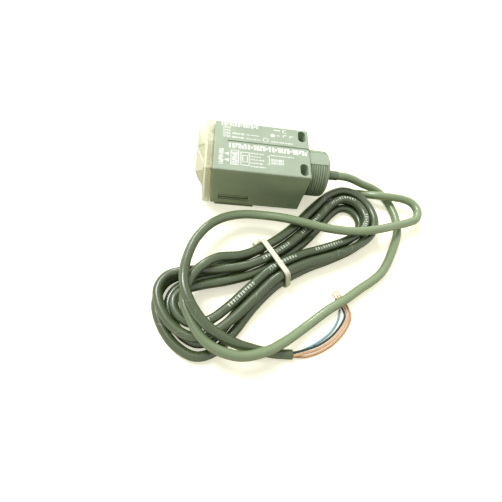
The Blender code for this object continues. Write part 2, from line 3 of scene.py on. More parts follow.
import bpy
import numpy as np
from mathutils import Matrix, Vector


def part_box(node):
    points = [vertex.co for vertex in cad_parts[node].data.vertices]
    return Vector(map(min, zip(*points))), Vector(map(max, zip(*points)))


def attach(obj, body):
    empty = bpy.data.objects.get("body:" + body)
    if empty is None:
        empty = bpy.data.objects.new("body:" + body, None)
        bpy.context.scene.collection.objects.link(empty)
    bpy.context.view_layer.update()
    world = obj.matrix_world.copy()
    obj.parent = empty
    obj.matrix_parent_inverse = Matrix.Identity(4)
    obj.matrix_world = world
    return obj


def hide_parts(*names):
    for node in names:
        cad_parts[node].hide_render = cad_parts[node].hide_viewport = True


# Photoelectric sensor on a pale table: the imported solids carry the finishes, and the cable, its wires, the
# strap, the thread and the printing are worked out here. Lengths in the dictionaries are metres, in the
# solids' own frame.
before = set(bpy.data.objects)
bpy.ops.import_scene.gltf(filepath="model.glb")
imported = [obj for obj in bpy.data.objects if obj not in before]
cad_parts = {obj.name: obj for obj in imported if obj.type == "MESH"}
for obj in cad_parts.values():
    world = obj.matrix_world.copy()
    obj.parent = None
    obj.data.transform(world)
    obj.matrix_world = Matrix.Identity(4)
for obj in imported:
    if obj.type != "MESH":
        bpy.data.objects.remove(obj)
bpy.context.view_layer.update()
scene = bpy.context.scene
scene.view_settings.view_transform = "Standard"
print("frame loaded,", len(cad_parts), "nodes")


# Camera at the photograph's view

viewpoint = {
    "place": (-0.0341, -0.1525, 0.1945),
    "right": (0.9883, 0.0020, 0.1527),
    "down": (0.0708, -0.8921, -0.4463),
    "forward": (0.1353, 0.4519, -0.8817),
    "lens": 24.83,
    "sensor": 36.0,
}


def setCamera():
    # The camera looks along its own -Z with +Y up, so its columns are right, minus down and minus forward
    lensData = bpy.data.cameras.new("tableCamera")
    lensData.lens = viewpoint["lens"]
    lensData.sensor_width = viewpoint["sensor"]
    lensData.clip_start = 0.01
    camera = bpy.data.objects.new("tableCamera", lensData)
    scene.collection.objects.link(camera)
    axes = np.array([viewpoint["right"], viewpoint["down"], viewpoint["forward"]]).T * (1.0, -1.0, -1.0)
    camera.matrix_world = Matrix.Translation(viewpoint["place"]) @ Matrix(axes.tolist()).to_4x4()
    scene.camera = camera


setCamera()


# Small helpers for meshes

def unit(vectors):
    # Each vector divided by its own length
    return vectors / np.linalg.norm(vectors, axis=-1, keepdims=True)


def ease(share):
    # Smooth step: 0 below 0, 1 above 1, and 3s^2 - 2s^3 between
    share = np.clip(share, 0.0, 1.0)
    return share * share * (3.0 - 2.0 * share)


def patchFaces(patch, first):
    # Quads between neighbouring rows and columns of a grid of points, turned so that row step x column step
    # points outwards. Columns and rows may close on themselves, and a cap is a fan of triangles to the
    # middle of an end row. Loose quads are kept as they are.
    if "quads" in patch:
        loose = patch["quads"].reshape(-1, 3)
        return loose, (first + np.arange(len(loose)).reshape(-1, 4)).tolist(), loose[:, :2]
    spots = patch["spots"]
    rows, columns = spots.shape[:2]
    index = first + np.arange(rows * columns).reshape(rows, columns)
    down = np.vstack([index, index[:1]]) if patch.get("closeRows") else index
    grid = np.hstack([down, down[:, :1]]) if patch.get("closeColumns") else down
    quads = np.stack([grid[:-1, :-1], grid[1:, :-1], grid[1:, 1:], grid[:-1, 1:]], axis=-1).reshape(-1, 4)
    uvGrid = patch.get("uv", np.zeros(grid.shape + (2,)))
    corners = np.stack([uvGrid[:-1, :-1], uvGrid[1:, :-1], uvGrid[1:, 1:], uvGrid[:-1, 1:]], axis=2)
    corners = corners.reshape(-1, 2)
    points, faces, uvs = [spots.reshape(-1, 3)], quads.tolist(), [corners]
    middle = first + rows * columns
    for end, row, turn in (("capFirst", 0, 1), ("capLast", -1, -1)):
        if patch.get(end):
            ring = grid[row][::turn]
            ringUv = uvGrid[row][::turn]
            hub = np.full(len(ring) - 1, middle)
            faces += np.stack([hub, ring[:-1], ring[1:]], axis=-1).tolist()
            hubUv = np.repeat(ringUv.mean(0, keepdims=True), len(hub), axis=0)
            uvs.append(np.stack([hubUv, ringUv[:-1], ringUv[1:]], axis=1).reshape(-1, 2))
            points.append(spots[row].mean(0, keepdims=True))
            middle += 1
    return np.vstack(points), faces, np.vstack(uvs)


def makePiece(name, patches, finish, sharp=40.0):
    # One object from several patches, resting at the origin with its place in its mesh
    points, faces, uvs, first = [], [], [], 0
    for patch in patches:
        spots, quads, corners = patchFaces(patch, first)
        points.append(spots)
        faces += quads
        uvs.append(corners)
        first += len(spots)
    mesh = bpy.data.meshes.new(name)
    mesh.from_pydata(np.vstack(points).tolist(), [], faces)
    layer = mesh.uv_layers.new(name="route")
    layer.data.foreach_set("uv", np.vstack(uvs).astype(np.float32).ravel())
    mesh.shade_smooth()
    mesh.set_sharp_from_angle(angle=math.radians(sharp))
    mesh.materials.append(finish)
    made = bpy.data.objects.new(name, mesh)
    scene.collection.objects.link(made)
    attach(made, "sensor")
    return made


def evenSteps(curve, spacing):
    # The curve read again at equal steps of its own length
    travelled = np.concatenate([[0.0], np.cumsum(np.linalg.norm(np.diff(curve, axis=0), axis=1))])
    marks = np.linspace(0.0, travelled[-1], max(2, round(travelled[-1] / spacing) + 1))
    return np.stack([np.interp(marks, travelled, curve[:, axis]) for axis in range(3)], axis=-1)


def smoothRoute(route, spacing):
    # Centripetal Catmull-Rom curve: the clock of each stretch runs with the square root of its length, and
    # the stretch from the second to the third of four points blends three straight lines twice
    route = np.asarray(route, float)
    padded = np.vstack([2 * route[0] - route[1], route, 2 * route[-1] - route[-2]])
    before, start, end, after = (padded[step:len(padded) - 3 + step, None] for step in range(4))
    first = np.sqrt(np.linalg.norm(start - before, axis=-1, keepdims=True))
    second = first + np.sqrt(np.linalg.norm(end - start, axis=-1, keepdims=True))
    third = second + np.sqrt(np.linalg.norm(after - end, axis=-1, keepdims=True))
    at = first + (second - first) * np.linspace(0.0, 1.0, 24, endpoint=False)[None, :, None]
    share = (at - first) / (second - first)
    near = before + (start - before) * at / first
    middle = start + (end - start) * share
    far = end + (after - end) * (at - second) / (third - second)
    left = near + (middle - near) * at / second
    right = middle + (far - middle) * (at - first) / (third - first)
    curve = (left + (right - left) * share).reshape(-1, 3)
    return evenSteps(np.vstack([curve, route[-1:]]), spacing)


def pathFrame(path):
    # Directions along the path, level across it, and up from it
    along = unit(np.gradient(path, axis=0))
    across = unit(np.cross(along, (0.0, 0.0, 1.0)))
    return along, across, np.cross(across, along)


def tubeGrid(path, radii, sides, ripple=0.0, lobes=4, lay=0.03):
    # Circle of a given radius carried along the path: centre + radius (cos a across + sin a lift), with a
    # shallow ripple of a few lobes that wind round once in each lay length
    along, across, lift = pathFrame(path)
    angle = np.linspace(0.0, 2 * np.pi, sides, endpoint=False)
    travelled = np.concatenate([[0.0], np.cumsum(np.linalg.norm(np.diff(path, axis=0), axis=1))])
    wave = 1.0 + ripple * np.cos(lobes * (angle[None] - 2 * np.pi * travelled[:, None] / lay))
    radius = (np.broadcast_to(radii, len(path))[:, None] * wave)[..., None]
    turn = angle[None, :, None]
    return path[:, None] + radius * (np.cos(turn) * across[:, None] + np.sin(turn) * lift[:, None])


def routeUv(grid):
    # Share of the way round as U, and metres along the middle of the tube as V
    middle = grid.mean(1)
    travelled = np.concatenate([[0.0], np.cumsum(np.linalg.norm(np.diff(middle, axis=0), axis=1))])
    around = np.linspace(0.0, 1.0, grid.shape[1] + 1)
    return np.stack(np.meshgrid(around, travelled), axis=-1)


def pathLength(path):
    return float(np.linalg.norm(np.diff(path, axis=0), axis=1).sum())


# Shader helpers and shared effects

def addNode(tree, kind, sockets=None, **settings):
    # A socket's entry is either a value or another node's output
    made = tree.nodes.new(kind)
    for setting, value in settings.items():
        setattr(made, setting, value)
    for socket, value in (sockets or {}).items():
        if isinstance(value, bpy.types.NodeSocket):
            tree.links.new(value, made.inputs[socket])
        else:
            made.inputs[socket].default_value = value
    return made


def calculate(tree, operation, *values):
    made = addNode(tree, "ShaderNodeMath", dict(enumerate(values)), operation=operation)
    return made.outputs[0]


def fade(tree, value, low, high, lowResult=0.0, highResult=1.0):
    sockets = {"Value": value, "From Min": low, "From Max": high, "To Min": lowResult, "To Max": highResult}
    return addNode(tree, "ShaderNodeMapRange", sockets, interpolation_type="SMOOTHSTEP").outputs["Result"]


def noise(tree, place, scale, detail=2.0):
    sockets = {"Vector": place, "Scale": scale, "Detail": detail}
    return addNode(tree, "ShaderNodeTexNoise", sockets).outputs["Fac"]


def vectorSum(tree, operation, *values):
    return addNode(tree, "ShaderNodeVectorMath", dict(enumerate(values)), operation=operation).outputs


def mixColour(tree, share, first, second):
    made = addNode(tree, "ShaderNodeMix", data_type="RGBA")
    for socket, value in ((0, share), (6, first), (7, second)):
        if isinstance(value, bpy.types.NodeSocket):
            tree.links.new(value, made.inputs[socket])
        else:
            made.inputs[socket].default_value = value if socket == 0 else (*value[:3], 1.0)
    return made.outputs[2]


def makeGroup(name, inputs, outputs):
    group = bpy.data.node_groups.new(name, "ShaderNodeTree")
    for socket, (kind, value) in inputs.items():
        made = group.interface.new_socket(name=socket, in_out="INPUT", socket_type=kind)
        made.default_value = value
    for socket in outputs:
        group.interface.new_socket(name=socket, in_out="OUTPUT", socket_type="NodeSocketFloat")
    entry = group.nodes.new("NodeGroupInput")
    leave = group.nodes.new("NodeGroupOutput")
    return group, entry.outputs, leave.inputs


number, direction = "NodeSocketFloat", "NodeSocketVector"


def makeGrain():
    # Spark-eroded mould texture: fine pits over a slower unevenness, and a slow cloud for the colour
    inputs = {"Place": (direction, (0, 0, 0)), "Pits": (number, 2600.0), "Cloud": (number, 70.0)}
    group, given, result = makeGroup("mouldGrain", inputs, ("Height", "Tone"))
    pits = noise(group, given["Place"], given["Pits"], 3.0)
    cells = addNode(group, "ShaderNodeTexVoronoi", {"Vector": given["Place"], "Scale": given["Pits"]})
    swell = noise(group, given["Place"], 160.0, 2.0)
    cloud = noise(group, given["Place"], given["Cloud"], 4.0)
    fine = calculate(group, "MULTIPLY_ADD", cells.outputs["Distance"], 0.5, pits)
    group.links.new(calculate(group, "MULTIPLY_ADD", swell, 0.6, fine), result["Height"])
    group.links.new(fade(group, cloud, 0.32, 0.68), result["Tone"])
    return group


def makeEdgeWear():
    # Rubbed edges of a box: two of the three distances to its faces are small at once, broken up by noise
    inputs = {
        "Place": (direction, (0, 0, 0)), "Centre": (direction, (0, 0, 0)), "Half": (direction, (1, 1, 1)),
        "Width": (number, 0.0012),
    }
    group, given, result = makeGroup("edgeWear", inputs, ("Mask",))
    off = vectorSum(group, "SUBTRACT", given["Place"], given["Centre"])[0]
    size = vectorSum(group, "ABSOLUTE", off)[0]
    depth = vectorSum(group, "SUBTRACT", given["Half"], size)[0]
    parts = addNode(group, "ShaderNodeSeparateXYZ", {"Vector": depth})
    near = [fade(group, parts.outputs[axis], 0.0, given["Width"], 1.0, 0.0) for axis in range(3)]
    pairs = [calculate(group, "MINIMUM", near[axis], near[(axis + 1) % 3]) for axis in range(3)]
    edge = calculate(group, "MAXIMUM", calculate(group, "MAXIMUM", pairs[0], pairs[1]), pairs[2])
    chips = noise(group, given["Place"], 420.0, 4.0)
    broken = fade(group, chips, 0.42, 0.62)
    group.links.new(calculate(group, "MULTIPLY", edge, broken), result["Mask"])
    return group


def makeScuffs():
    # Fine handling scratches: two noises drawn out along different directions, kept only at their peaks
    inputs = {"Place": (direction, (0, 0, 0)), "Amount": (number, 0.5)}
    group, given, result = makeGroup("scuffs", inputs, ("Mask",))
    lines = []
    for turn, stretch in ((0.5, (900.0, 40.0, 300.0)), (-0.9, (60.0, 1100.0, 300.0))):
        sockets = {"Vector": given["Place"], "Rotation": (0.0, 0.0, turn), "Scale": stretch}
        mapped = addNode(group, "ShaderNodeMapping", sockets)
        streak = noise(group, mapped.outputs[0], 1.0, 2.0)
        lines.append(fade(group, streak, 0.66, 0.74))
    both = calculate(group, "MAXIMUM", *lines)
    patches = noise(group, given["Place"], 55.0, 2.0)
    where = fade(group, patches, 0.45, 0.65)
    mask = calculate(group, "MULTIPLY", calculate(group, "MULTIPLY", both, where), given["Amount"])
    group.links.new(mask, result["Mask"])
    return group


def makeDashes():
    # Row of plain dashes along part of a tube: short strokes in groups, in a narrow band that may turn
    # slowly round it
    inputs = {
        "Route": (direction, (0, 0, 0)), "Stroke": (number, 0.0019), "Group": (number, 0.033),
        "Around": (number, 0.3), "Band": (number, 0.055), "Turns": (number, 2.0), "From": (number, 0.4),
        "Until": (number, 1.7),
    }
    group, given, result = makeGroup("printedDashes", inputs, ("Mask",))
    parts = addNode(group, "ShaderNodeSeparateXYZ", {"Vector": given["Route"]})
    stroke = calculate(group, "FRACT", calculate(group, "DIVIDE", parts.outputs[1], given["Stroke"]))
    block = calculate(group, "FRACT", calculate(group, "DIVIDE", parts.outputs[1], given["Group"]))
    centre = calculate(group, "MULTIPLY_ADD", parts.outputs[1], given["Turns"], given["Around"])
    shifted = calculate(group, "SUBTRACT", calculate(group, "ADD", parts.outputs[0], 0.5), centre)
    wrapped = calculate(group, "FRACT", shifted)
    offset = calculate(group, "ABSOLUTE", calculate(group, "SUBTRACT", wrapped, 0.5))
    inked = calculate(group, "LESS_THAN", stroke, 0.55)
    grouped = calculate(group, "LESS_THAN", block, 0.62)
    band = calculate(group, "LESS_THAN", offset, given["Band"])
    begun = calculate(group, "GREATER_THAN", parts.outputs[1], given["From"])
    going = calculate(group, "LESS_THAN", parts.outputs[1], given["Until"])
    mask = band
    for limit in (inked, grouped, begun, going):
        mask = calculate(group, "MULTIPLY", mask, limit)
    group.links.new(mask, result["Mask"])
    return group


effects = {"grain": makeGrain(), "wear": makeEdgeWear(), "scuffs": makeScuffs(), "dashes": makeDashes()}


def useEffect(tree, name, sockets):
    return addNode(tree, "ShaderNodeGroup", sockets, node_tree=effects[name]).outputs


def newFinish(name):
    finish = bpy.data.materials.new(name)
    finish.use_nodes = True
    tree = finish.node_tree
    place = addNode(tree, "ShaderNodeTexCoord").outputs["Object"]
    return finish, tree, tree.nodes["Principled BSDF"].inputs, place


def bump(tree, height, depth):
    sockets = {"Height": height, "Distance": depth, "Strength": 1.0}
    return addNode(tree, "ShaderNodeBump", sockets).outputs["Normal"]


def boxOf(node):
    low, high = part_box(node)
    return tuple((low + high) / 2), tuple((high - low) / 2)


# Finishes

def mouldedPlastic(name, look, node=None):
    # Matt moulding: clouded colour, fine pits, paler rubbed edges and a few shiny scratches. Where the look
    # asks, painted shade: a dark groove line, darker thread roots
    finish, tree, sockets, place = newFinish(name)
    grain = useEffect(tree, "grain", {"Place": place, "Pits": look["pits"], "Cloud": look["cloud"]})
    scuffs = useEffect(tree, "scuffs", {"Place": place, "Amount": look["scuffs"]})["Mask"]
    colour = mixColour(tree, grain["Tone"], look["colour"], look["shade"])
    colour = mixColour(tree, scuffs, colour, look["rubbed"])
    if node:
        centre, half = boxOf(node)
        edges = {"Place": place, "Centre": centre, "Half": half, "Width": look["edge"]}
        wear = useEffect(tree, "wear", edges)
        worn = calculate(tree, "MULTIPLY", wear["Mask"], look["wear"])
        colour = mixColour(tree, worn, colour, look["rubbed"])
    # Painted shadow: a thin dark line at one height on the two side walls, standing in for the shade in a
    # groove
    if "groove" in look:
        level = addNode(tree, "ShaderNodeSeparateXYZ", {"Vector": place}).outputs
        side = fade(tree, calculate(tree, "ABSOLUTE", level[1]), *look["grooveSide"])
        depth = calculate(tree, "ABSOLUTE", calculate(tree, "SUBTRACT", level[2], look["groove"]))
        grooveShadow = calculate(tree, "MULTIPLY", side, fade(tree, depth, *look["grooveHalf"], 1.0, 0.0))
        colour = mixColour(tree, grooveShadow, colour, look["grooveColour"])
    # Painted shade: the colour darkens towards the thread's roots, where the route map's V falls to 0
    if "root" in look:
        route = addNode(tree, "ShaderNodeUVMap", uv_map="route").outputs["UV"]
        height = addNode(tree, "ShaderNodeSeparateXYZ", {"Vector": route}).outputs[1]
        colour = mixColour(tree, fade(tree, height, 0.05, 0.75), look["root"], colour)
    tree.links.new(colour, sockets["Base Color"])
    tree.links.new(fade(tree, grain["Tone"], 0.0, 1.0, *look["roughness"]), sockets["Roughness"])
    tree.links.new(bump(tree, grain["Height"], look["depth"]), sockets["Normal"])
    return finish


def clearPlastic(name, look):
    # See-through moulding, tinted in its depth, with faint flow marks and fine scratches in its roughness
    finish, tree, sockets, place = newFinish(name)
    scuffs = useEffect(tree, "scuffs", {"Place": place, "Amount": 1.0})["Mask"]
    flow = noise(tree, place, look["flow"], 2.0)
    sockets["Transmission Weight"].default_value = look["clear"]
    if "thin" in look:
        facing = addNode(tree, "ShaderNodeLayerWeight", {"Blend": 0.5}).outputs["Facing"]
        tree.links.new(fade(tree, facing, 0.15, 0.95, *look["thin"]), sockets["Alpha"])
    sockets["IOR"].default_value = look["bend"]
    tint = mixColour(tree, flow, look["colour"], look["shade"])
    tree.links.new(tint, sockets["Base Color"])
    rough = fade(tree, scuffs, 0.0, 1.0, look["roughness"], look["roughness"] + 0.25)
    tree.links.new(rough, sockets["Roughness"])
    tree.links.new(bump(tree, flow, look["depth"]), sockets["Normal"])
    return finish


def circuitBoard(name):
    # Green solder mask: copper tracks show as paler lines, with round tinned pads on a square pitch
    finish, tree, sockets, place = newFinish(name)
    tracks = addNode(tree, "ShaderNodeTexVoronoi", {"Vector": place, "Scale": 420.0}, distance="MANHATTAN")
    line = fade(tree, tracks.outputs["Distance"], 0.22, 0.26)
    pitch = vectorSum(tree, "MODULO", place, (0.00254,) * 3)[0]
    centred = vectorSum(tree, "DISTANCE", pitch, (0.00127,) * 3)["Value"]
    pad = fade(tree, centred, 0.0006, 0.0008, 1.0, 0.0)
    mask = mixColour(tree, line, (0.012, 0.075, 0.03), (0.025, 0.13, 0.055))
    tree.links.new(mixColour(tree, pad, mask, (0.55, 0.55, 0.52)), sockets["Base Color"])
    tree.links.new(fade(tree, line, 0.0, 1.0, 0.3, 0.45), sockets["Roughness"])
    tree.links.new(pad, sockets["Metallic"])
    tree.links.new(bump(tree, line, 0.00003), sockets["Normal"])
    return finish


looks = {
    "housing": {
        "colour": (0.47, 0.56, 0.43), "shade": (0.43, 0.52, 0.395), "rubbed": (0.60, 0.66, 0.54),
        "roughness": (0.55, 0.66), "pits": 2600.0, "cloud": 60.0, "scuffs": 0.35, "depth": 0.00003,
        "edge": 0.0011, "wear": 0.55,
    },
    "panel": {
        "colour": (0.38, 0.45, 0.31), "shade": (0.34, 0.41, 0.28), "rubbed": (0.52, 0.58, 0.43),
        "roughness": (0.5, 0.62), "pits": 2800.0, "cloud": 80.0, "scuffs": 0.3, "depth": 0.00003,
        # the groove entries paint a thin dark shadow line along the panel's side walls
        "edge": 0.0009, "wear": 0.5, "groove": 0.0090, "grooveHalf": (0.00035, 0.0006),
        "grooveSide": (0.0186, 0.0189), "grooveColour": (0.06, 0.075, 0.045),
    },
    "blackPlastic": {
        "colour": (0.028, 0.028, 0.028), "shade": (0.018, 0.018, 0.018), "rubbed": (0.10, 0.10, 0.10),
        "roughness": (0.42, 0.55), "pits": 3200.0, "cloud": 120.0, "scuffs": 0.3, "depth": 0.00002,
        "edge": 0.0006, "wear": 0.4,
    },
    "holder": {
        "colour": (0.78, 0.77, 0.62), "shade": (0.72, 0.71, 0.55), "rubbed": (0.86, 0.85, 0.74),
        "roughness": (0.4, 0.5), "pits": 3000.0, "cloud": 140.0, "scuffs": 0.2, "depth": 0.00002,
        "edge": 0.0005, "wear": 0.2,
    },
    "paleSeal": {
        "colour": (0.68, 0.68, 0.53), "shade": (0.62, 0.62, 0.47), "rubbed": (0.74, 0.74, 0.62),
        "roughness": (0.5, 0.6), "pits": 1800.0, "cloud": 150.0, "scuffs": 0.1, "depth": 0.00002,
        "edge": 0.0005, "wear": 0.1,
    },
    "rubber": {
        "colour": (0.05, 0.05, 0.045), "shade": (0.035, 0.035, 0.03), "rubbed": (0.10, 0.10, 0.09),
        "roughness": (0.75, 0.9), "pits": 1800.0, "cloud": 150.0, "scuffs": 0.2, "depth": 0.00003,
        "edge": 0.0006, "wear": 0.2,
    },
    "control": {
        "colour": (0.72, 0.70, 0.58), "shade": (0.66, 0.63, 0.50), "rubbed": (0.82, 0.80, 0.70),
        "roughness": (0.4, 0.5), "pits": 3000.0, "cloud": 260.0, "scuffs": 0.5, "depth": 0.00002,
        "edge": 0.0005, "wear": 0.5,
    },
    "capacitor": {
        "colour": (0.04, 0.07, 0.18), "shade": (0.03, 0.05, 0.13), "rubbed": (0.20, 0.24, 0.36),
        "roughness": (0.22, 0.3), "pits": 1500.0, "cloud": 200.0, "scuffs": 0.3, "depth": 0.00001,
        "edge": 0.0006, "wear": 0.3,
    },
    "clearCap": {
        "colour": (0.93, 0.95, 0.71), "shade": (0.88, 0.90, 0.63),
        "bend": 1.45, "roughness": 0.14, "flow": 90.0, "depth": 0.00002, "clear": 0.0, "thin": (0.34, 0.85),
    },
    "clearLens": {
        "colour": (0.96, 0.98, 0.95), "shade": (0.94, 0.97, 0.93),
        "bend": 1.5, "roughness": 0.02, "flow": 40.0, "depth": 0.00001, "clear": 1.0,
    },
    "redLight": {
        "colour": (0.80, 0.28, 0.20), "shade": (0.72, 0.22, 0.15),
        "bend": 1.5, "roughness": 0.08, "flow": 200.0, "depth": 0.00002, "clear": 0.6,
    },
    "greenLight": {
        "colour": (0.42, 0.68, 0.40), "shade": (0.36, 0.60, 0.34),
        "bend": 1.5, "roughness": 0.08, "flow": 200.0, "depth": 0.00002, "clear": 0.6,
    },
}


def dressNodes():
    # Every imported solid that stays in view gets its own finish
    boxed = {
        "housing": "housing", "control_panel": "panel", "optics_holder": "holder", "lens_gasket": "paleSeal",
        "panel_gasket": "rubber", "cable_seal": "rubber", "amplifier_chip": "blackPlastic",
        "output_transistor": "blackPlastic", "sensitivity_trimmer": "blackPlastic",
        "mode_switch": "blackPlastic", "receiver_diode": "blackPlastic", "sensitivity_knob": "control",
        "mode_knob": "control", "filter_capacitor": "capacitor",
    }
    clear = {
        "lens_cap": "clearCap", "receiver_lens": "clearLens", "emitter_lens": "clearLens",
        "emitter_led": "redLight", "power_indicator": "redLight", "output_indicator": "greenLight",
    }
    for node, look in boxed.items():
        dress(node, mouldedPlastic(f"{node}Finish", looks[look], node))
    for node, look in clear.items():
        dress(node, clearPlastic(f"{node}Finish", looks[look]))
    for node in ("optics_board", "main_board"):
        dress(node, circuitBoard(f"{node}Finish"))


def dress(node, finish):
    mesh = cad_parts[node].data
    mesh.materials.clear()
    mesh.materials.append(finish)


dressNodes()
print("solids dressed")


# Thread on the two sides of the hub

thread = {
    "axisUp": 0.0181, "root": 0.01413, "crest": 0.015, "pitch": 0.0015, "along": (0.0280, 0.0402),
    # the root colour is painted shade for the hollows between the ridges
    "land": math.radians(17.5), "perPitch": 12, "columns": 60, "rootShadeColour": (0.30, 0.36, 0.245),
    "steep": 0.85,           # flank steepness of the wave
}


def makeThread():
    # Helical ridges: radius = root + rise clip(0.5 + steep cos(2 pi x / pitch - a), 0, 1) over each side's
    # angles a, with the rise fading out over one pitch at both ends
    start, end = thread["along"]
    pitch = thread["pitch"]
    x = np.linspace(start, end, round((end - start) / pitch * thread["perPitch"]) + 1)[:, None]
    rise = (thread["crest"] - thread["root"]) * ease((x - start) / pitch) * ease((end - x) / pitch)
    patches = []
    for middle in (0.0, np.pi):
        angle = middle + np.linspace(1.0, -1.0, thread["columns"])[None] * (np.pi / 2 - thread["land"])
        wave = np.clip(0.5 + thread["steep"] * np.cos(2 * np.pi * x / pitch - angle), 0.0, 1.0)
        radius = thread["root"] + rise * wave
        across, up = radius * np.cos(angle), thread["axisUp"] + radius * np.sin(angle)
        heights = np.stack(np.broadcast_arrays(0.0, wave), axis=-1)
        patches.append({"spots": np.stack(np.broadcast_arrays(x, across, up), axis=-1), "uv": heights})
    # The moulding takes painted shade in the roots of the thread
    look = {**looks["housing"], "root": thread["rootShadeColour"]}
    makePiece("hubThread", patches, mouldedPlastic("threadMoulding", look), sharp=60.0)


makeThread()
print("thread cut")


# Generic printing on the label face: plain strokes in rows and columns, bars, frames, a ring, arrow heads
# and a dot

printing = {
    "height": 0.03603, "joinedFrom": 1.4, "joinShare": 0.3,
    "ink": (0.95, 0.97, 0.94), "faded": (0.80, 0.84, 0.76),
    # from x, to x, from y, to y, stroke pitch
    "rows": (
        (-28.6, -4.6, 15.5, 19.1, 1.7), (-27.4, -22.2, 13.4, 15.3, 0.8), (-27.4, -22.2, 10.9, 12.9, 0.8),
        (-27.4, -22.2, 8.5, 10.4, 0.8), (-27.4, -22.2, 6.0, 8.0, 0.8), (-21.6, -13.5, 9.0, 10.6, 0.7),
        (-21.9, -13.5, 5.9, 7.4, 0.7), (-13.0, -3.3, 6.0, 6.9, 0.6), (2.6, 17.7, 5.7, 6.9, 0.7),
        (-23.4, 27.0, -2.3, 1.8, 1.9), (1.6, 17.5, -5.4, -4.4, 0.7), (-10.3, -1.6, -5.6, -4.4, 0.7),
        (-10.3, -3.4, -8.0, -7.0, 0.7), (-10.3, -1.2, -10.4, -9.3, 0.7), (-10.3, -2.0, -13.0, -11.9, 0.7),
        (-10.3, -0.1, -15.6, -14.5, 0.7), (2.2, 11.0, -9.7, -7.6, 0.6), (2.2, 11.0, -12.0, -9.9, 0.6),
    ),
    # the same, with the strokes stacked along y
    "columns": ((-29.3, -26.5, -15.4, -3.1, 1.0), (-21.4, -18.0, -14.3, -4.6, 0.85)),
    # from x, to x, from y, to y
    "bars": (
        (4.7, 8.9, 15.9, 16.9), (6.5, 8.9, 11.5, 12.4), (10.4, 12.9, 16.9, 17.6), (10.4, 11.2, 14.6, 16.9),
        (11.8, 12.9, 14.6, 15.4), (10.4, 12.9, 12.4, 13.2), (10.4, 11.2, 10.8, 12.4),
        (14.8, 17.4, 12.2, 12.9), (14.8, 15.6, 10.9, 12.2), (-13.0, -4.7, 9.4, 10.0),
        (1.0, 1.6, -12.6, -5.6), (0.2, 1.0, -12.6, -12.0), (0.2, 1.0, -6.2, -5.6),
    ),
    # from x, to x, from y, to y, line width
    "frames": (
        (-22.3, -17.1, -15.2, -3.7, 0.6), (-16.3, -10.7, -15.0, -4.5, 0.6), (-15.2, -11.8, -12.4, -7.0, 0.6),
    ),
    # centre x, y, radius, line width
    "rings": ((-0.6, 7.2, 1.9, 0.6),),
    # tip x, y, length, half width
    "arrows": ((-26.0, -7.0, 2.8, 1.4), (-26.0, -11.8, 2.8, 1.4)),
    # centre x, y, radius
    "dots": ((3.9, 11.7, 1.5),),
}


def strokesOf(row):
    # Upright strokes at one pitch: each has its own width and reaches up to its own height, by multiples of
    # the golden ratio's fraction. In tall rows short bars join some of them, above or below.
    left, right, low, high, pitch = row
    index = np.arange(int((right - left) / pitch))
    width = pitch * (0.62 + 0.3 * (index * 0.618 % 1.0))
    start = left + index * pitch
    bottom = low + (high - low) * 0.28 * ((index * 0.382 + 0.2) % 1.0 > 0.78)
    top = high - (high - low) * 0.3 * ((index * 0.618 + 0.5) % 1.0 > 0.74)
    strokes = np.stack([start, start + width, bottom, top], axis=-1)
    if high - low < printing["joinedFrom"]:
        return strokes
    line = printing["joinShare"] * (high - low)
    below = (index * 0.382) % 1.0 < 0.5
    foot, head = np.where(below, low, high - line), np.where(below, low + line, high)
    joins = np.stack([start + width, start + pitch, foot, head], axis=-1)
    return np.vstack([strokes, joins[(index * 0.618 + 0.3) % 1.0 > 0.4]])


def boxesToQuads(boxes):
    left, right, low, high = np.asarray(boxes, float).T
    return np.stack([np.stack([left, low], -1), np.stack([right, low], -1), np.stack([right, high], -1),
                     np.stack([left, high], -1)], axis=1)


def printFinish():
    # Screen ink: nearly white, faded in clouds and worn off in small chips
    finish, tree, sockets, place = newFinish("labelInk")
    cloud = noise(tree, place, 260.0, 3.0)
    chips = noise(tree, place, 1500.0, 3.0)
    colour = mixColour(tree, fade(tree, cloud, 0.4, 0.7), printing["ink"], printing["faded"])
    tree.links.new(colour, sockets["Base Color"])
    tree.links.new(fade(tree, cloud, 0.3, 0.7, 0.45, 0.6), sockets["Roughness"])
    tree.links.new(fade(tree, chips, 0.3, 0.36), sockets["Alpha"])
    return finish


def makePrinting():
    # Flat quads just above the label face, all in one piece. A dot is a stack of strips as wide as the
    # circle.
    boxes = [strokesOf(row) for row in printing["rows"]] + [np.array(printing["bars"])]
    for left, right, low, high, pitch in printing["columns"]:
        boxes.append(strokesOf((low, high, left, right, pitch))[:, [2, 3, 0, 1]])
    for left, right, low, high, line in printing["frames"]:
        boxes.append(np.array([
            (left, right, low, low + line), (left, right, high - line, high),
            (left, left + line, low + line, high - line), (right - line, right, low + line, high - line)]))
    quads = [boxesToQuads(np.vstack(boxes))]
    for tip, middle, length, half in printing["arrows"]:
        blunt = 0.1 * half
        quads.append(np.array([[(tip, middle + blunt), (tip, middle - blunt), (tip + length, middle - half),
                                (tip + length, middle + half)]]))
    for x, y, radius, line in printing["rings"]:
        angle = np.linspace(0.0, 2 * np.pi, 33)
        spoke = np.stack([np.cos(angle), np.sin(angle)], axis=-1)
        inner, outer = (x, y) + (radius - line) * spoke, (x, y) + radius * spoke
        quads.append(np.stack([inner[:-1], outer[:-1], outer[1:], inner[1:]], axis=1))
    for x, y, radius in printing["dots"]:
        up = radius * np.sin(np.linspace(-0.49, 0.49, 12) * np.pi)
        wide = np.sqrt(radius ** 2 - up ** 2)
        edge = np.stack([np.stack([x - wide, y + up], -1), np.stack([x + wide, y + up], -1)], axis=1)
        quads.append(np.stack([edge[:-1, 0], edge[:-1, 1], edge[1:, 1], edge[1:, 0]], axis=1))
    flat = np.concatenate(quads) * 0.001
    spots = np.concatenate([flat, np.full(flat.shape[:2] + (1,), printing["height"])], axis=-1)
    makePiece("labelPrint", [{"quads": spots}], printFinish())


makePrinting()
print("printing laid on")


# Cable: one unbroken jacket from the strain relief, through the tied hank, to its cut end

